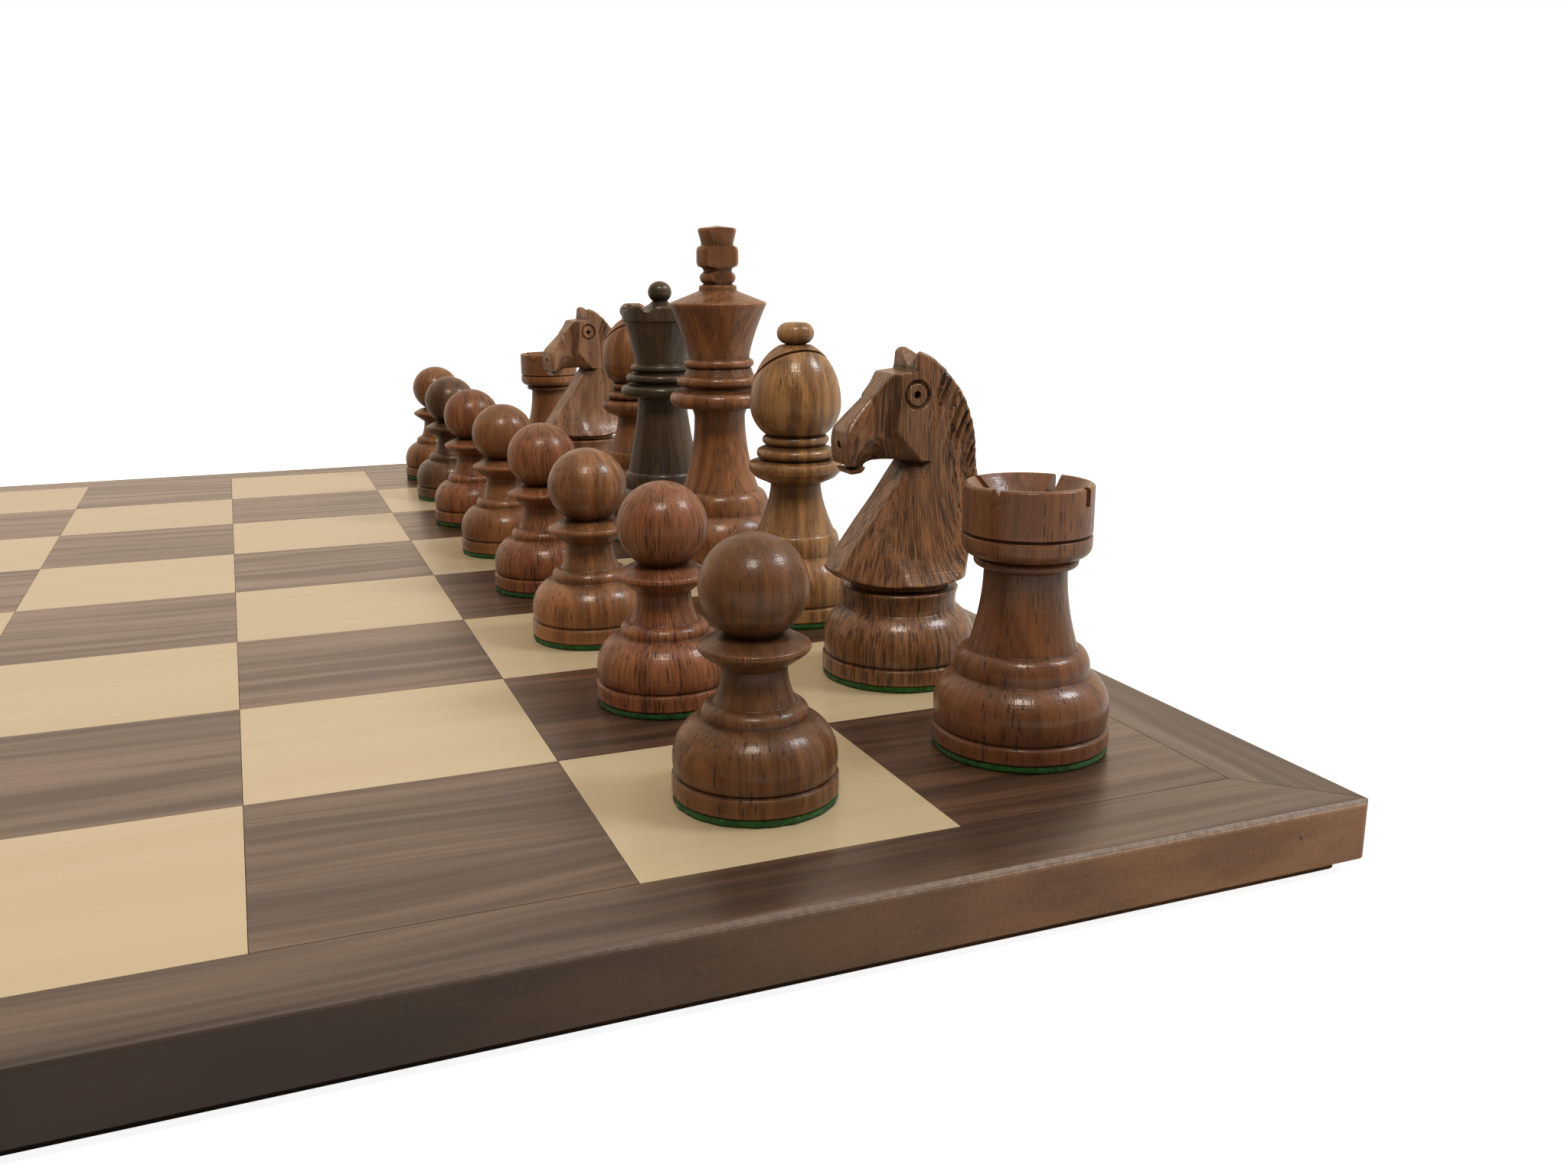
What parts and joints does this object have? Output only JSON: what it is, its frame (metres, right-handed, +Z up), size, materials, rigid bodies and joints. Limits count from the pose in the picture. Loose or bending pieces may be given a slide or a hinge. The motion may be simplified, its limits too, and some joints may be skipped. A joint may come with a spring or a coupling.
{
  "type": "chess set with board",
  "caption": "Flat veneered wooden chess board with mitred border, set up with turned and carved Staunton-pattern pieces on felt feet; every piece lifts off.",
  "frame": {"origin": "centre of the board's underside", "axes": "+Z up out of the board; +X from the light army's back rank to the dark army's; +Y from file h to file a"},
  "size_m": [0.431, 0.431, 0.1038],
  "materials": {
    "stained_edge": "satin",
    "backing": "satin",
    "core": "raw fibreboard",
    "walnut_veneer": "satin lacquer",
    "maple_veneer": "satin lacquer",
    "dark_wood": "satin lacquer",
    "light_wood": "satin lacquer",
    "felt": "felt"
  },
  "bodies": {
    "board": {"plinth_panel": "stained_edge", "backing_veneer": "backing", "core_panel": "core", "edge_lipping": "stained_edge", "border_veneer": "walnut_veneer", "dark_squares": "walnut_veneer", "light_squares": "maple_veneer"},
    "dark_rook_a8": {"dark_rook_a8": "dark_wood", "dark_rook_a8_felt": "felt"},
    "dark_knight_b8": {"dark_knight_b8": "dark_wood", "dark_knight_b8_head": "dark_wood", "dark_knight_b8_felt": "felt"},
    "dark_bishop_c8": {"dark_bishop_c8": "dark_wood", "dark_bishop_c8_felt": "felt"},
    "dark_queen_d8": {"dark_queen_d8": "dark_wood", "dark_queen_d8_felt": "felt"},
    "dark_king_e8": {"dark_king_e8": "dark_wood", "dark_king_e8_felt": "felt"},
    "dark_bishop_f8": {"dark_bishop_f8": "dark_wood", "dark_bishop_f8_felt": "felt"},
    "dark_knight_g8": {"dark_knight_g8": "dark_wood", "dark_knight_g8_head": "dark_wood", "dark_knight_g8_felt": "felt"},
    "dark_rook_h8": {"dark_rook_h8": "dark_wood", "dark_rook_h8_felt": "felt"},
    "dark_pawn_a7": {"dark_pawn_a7": "dark_wood", "dark_pawn_a7_felt": "felt"},
    "dark_pawn_b7": {"dark_pawn_b7": "dark_wood", "dark_pawn_b7_felt": "felt"},
    "dark_pawn_c7": {"dark_pawn_c7": "dark_wood", "dark_pawn_c7_felt": "felt"},
    "dark_pawn_d7": {"dark_pawn_d7": "dark_wood", "dark_pawn_d7_felt": "felt"},
    "dark_pawn_e7": {"dark_pawn_e7": "dark_wood", "dark_pawn_e7_felt": "felt"},
    "dark_pawn_f7": {"dark_pawn_f7": "dark_wood", "dark_pawn_f7_felt": "felt"},
    "dark_pawn_g7": {"dark_pawn_g7": "dark_wood", "dark_pawn_g7_felt": "felt"},
    "dark_pawn_h7": {"dark_pawn_h7": "dark_wood", "dark_pawn_h7_felt": "felt"},
    "light_rook_a1": {"light_rook_a1": "light_wood"},
    "light_knight_b1": {"light_knight_b1": "light_wood", "light_knight_b1_head": "light_wood"},
    "light_bishop_c1": {"light_bishop_c1": "light_wood"},
    "light_queen_d1": {"light_queen_d1": "light_wood"},
    "light_king_e1": {"light_king_e1": "light_wood"},
    "light_bishop_f1": {"light_bishop_f1": "light_wood"},
    "light_knight_g1": {"light_knight_g1": "light_wood", "light_knight_g1_head": "light_wood"},
    "light_rook_h1": {"light_rook_h1": "light_wood"},
    "light_pawn_a2": {"light_pawn_a2": "light_wood"},
    "light_pawn_b2": {"light_pawn_b2": "light_wood"},
    "light_pawn_c2": {"light_pawn_c2": "light_wood"},
    "light_pawn_d2": {"light_pawn_d2": "light_wood"},
    "light_pawn_e2": {"light_pawn_e2": "light_wood"},
    "light_pawn_f2": {"light_pawn_f2": "light_wood"},
    "light_pawn_g2": {"light_pawn_g2": "light_wood"},
    "light_pawn_h2": {"light_pawn_h2": "light_wood"}
  },
  "joints": [
    {"name": "dark_rook_a8_lift", "type": "slide", "parent": "board", "child": "dark_rook_a8", "axis": [0, 0, 1], "range_m": [0, 0.1]},
    {"name": "dark_knight_b8_lift", "type": "slide", "parent": "board", "child": "dark_knight_b8", "axis": [0, 0, 1], "range_m": [0, 0.1]},
    {"name": "dark_bishop_c8_lift", "type": "slide", "parent": "board", "child": "dark_bishop_c8", "axis": [0, 0, 1], "range_m": [0, 0.1]},
    {"name": "dark_queen_d8_lift", "type": "slide", "parent": "board", "child": "dark_queen_d8", "axis": [0, 0, 1], "range_m": [0, 0.1]},
    {"name": "dark_king_e8_lift", "type": "slide", "parent": "board", "child": "dark_king_e8", "axis": [0, 0, 1], "range_m": [0, 0.1]},
    {"name": "dark_bishop_f8_lift", "type": "slide", "parent": "board", "child": "dark_bishop_f8", "axis": [0, 0, 1], "range_m": [0, 0.1]},
    {"name": "dark_knight_g8_lift", "type": "slide", "parent": "board", "child": "dark_knight_g8", "axis": [0, 0, 1], "range_m": [0, 0.1]},
    {"name": "dark_rook_h8_lift", "type": "slide", "parent": "board", "child": "dark_rook_h8", "axis": [0, 0, 1], "range_m": [0, 0.1]},
    {"name": "dark_pawn_a7_lift", "type": "slide", "parent": "board", "child": "dark_pawn_a7", "axis": [0, 0, 1], "range_m": [0, 0.1]},
    {"name": "dark_pawn_b7_lift", "type": "slide", "parent": "board", "child": "dark_pawn_b7", "axis": [0, 0, 1], "range_m": [0, 0.1]},
    {"name": "dark_pawn_c7_lift", "type": "slide", "parent": "board", "child": "dark_pawn_c7", "axis": [0, 0, 1], "range_m": [0, 0.1]},
    {"name": "dark_pawn_d7_lift", "type": "slide", "parent": "board", "child": "dark_pawn_d7", "axis": [0, 0, 1], "range_m": [0, 0.1]},
    {"name": "dark_pawn_e7_lift", "type": "slide", "parent": "board", "child": "dark_pawn_e7", "axis": [0, 0, 1], "range_m": [0, 0.1]},
    {"name": "dark_pawn_f7_lift", "type": "slide", "parent": "board", "child": "dark_pawn_f7", "axis": [0, 0, 1], "range_m": [0, 0.1]},
    {"name": "dark_pawn_g7_lift", "type": "slide", "parent": "board", "child": "dark_pawn_g7", "axis": [0, 0, 1], "range_m": [0, 0.1]},
    {"name": "dark_pawn_h7_lift", "type": "slide", "parent": "board", "child": "dark_pawn_h7", "axis": [0, 0, 1], "range_m": [0, 0.1]},
    {"name": "light_rook_a1_lift", "type": "slide", "parent": "board", "child": "light_rook_a1", "axis": [0, 0, 1], "range_m": [0, 0.1]},
    {"name": "light_knight_b1_lift", "type": "slide", "parent": "board", "child": "light_knight_b1", "axis": [0, 0, 1], "range_m": [0, 0.1]},
    {"name": "light_bishop_c1_lift", "type": "slide", "parent": "board", "child": "light_bishop_c1", "axis": [0, 0, 1], "range_m": [0, 0.1]},
    {"name": "light_queen_d1_lift", "type": "slide", "parent": "board", "child": "light_queen_d1", "axis": [0, 0, 1], "range_m": [0, 0.1]},
    {"name": "light_king_e1_lift", "type": "slide", "parent": "board", "child": "light_king_e1", "axis": [0, 0, 1], "range_m": [0, 0.1]},
    {"name": "light_bishop_f1_lift", "type": "slide", "parent": "board", "child": "light_bishop_f1", "axis": [0, 0, 1], "range_m": [0, 0.1]},
    {"name": "light_knight_g1_lift", "type": "slide", "parent": "board", "child": "light_knight_g1", "axis": [0, 0, 1], "range_m": [0, 0.1]},
    {"name": "light_rook_h1_lift", "type": "slide", "parent": "board", "child": "light_rook_h1", "axis": [0, 0, 1], "range_m": [0, 0.1]},
    {"name": "light_pawn_a2_lift", "type": "slide", "parent": "board", "child": "light_pawn_a2", "axis": [0, 0, 1], "range_m": [0, 0.1]},
    {"name": "light_pawn_b2_lift", "type": "slide", "parent": "board", "child": "light_pawn_b2", "axis": [0, 0, 1], "range_m": [0, 0.1]},
    {"name": "light_pawn_c2_lift", "type": "slide", "parent": "board", "child": "light_pawn_c2", "axis": [0, 0, 1], "range_m": [0, 0.1]},
    {"name": "light_pawn_d2_lift", "type": "slide", "parent": "board", "child": "light_pawn_d2", "axis": [0, 0, 1], "range_m": [0, 0.1]},
    {"name": "light_pawn_e2_lift", "type": "slide", "parent": "board", "child": "light_pawn_e2", "axis": [0, 0, 1], "range_m": [0, 0.1]},
    {"name": "light_pawn_f2_lift", "type": "slide", "parent": "board", "child": "light_pawn_f2", "axis": [0, 0, 1], "range_m": [0, 0.1]},
    {"name": "light_pawn_g2_lift", "type": "slide", "parent": "board", "child": "light_pawn_g2", "axis": [0, 0, 1], "range_m": [0, 0.1]},
    {"name": "light_pawn_h2_lift", "type": "slide", "parent": "board", "child": "light_pawn_h2", "axis": [0, 0, 1], "range_m": [0, 0.1]}
  ]
}
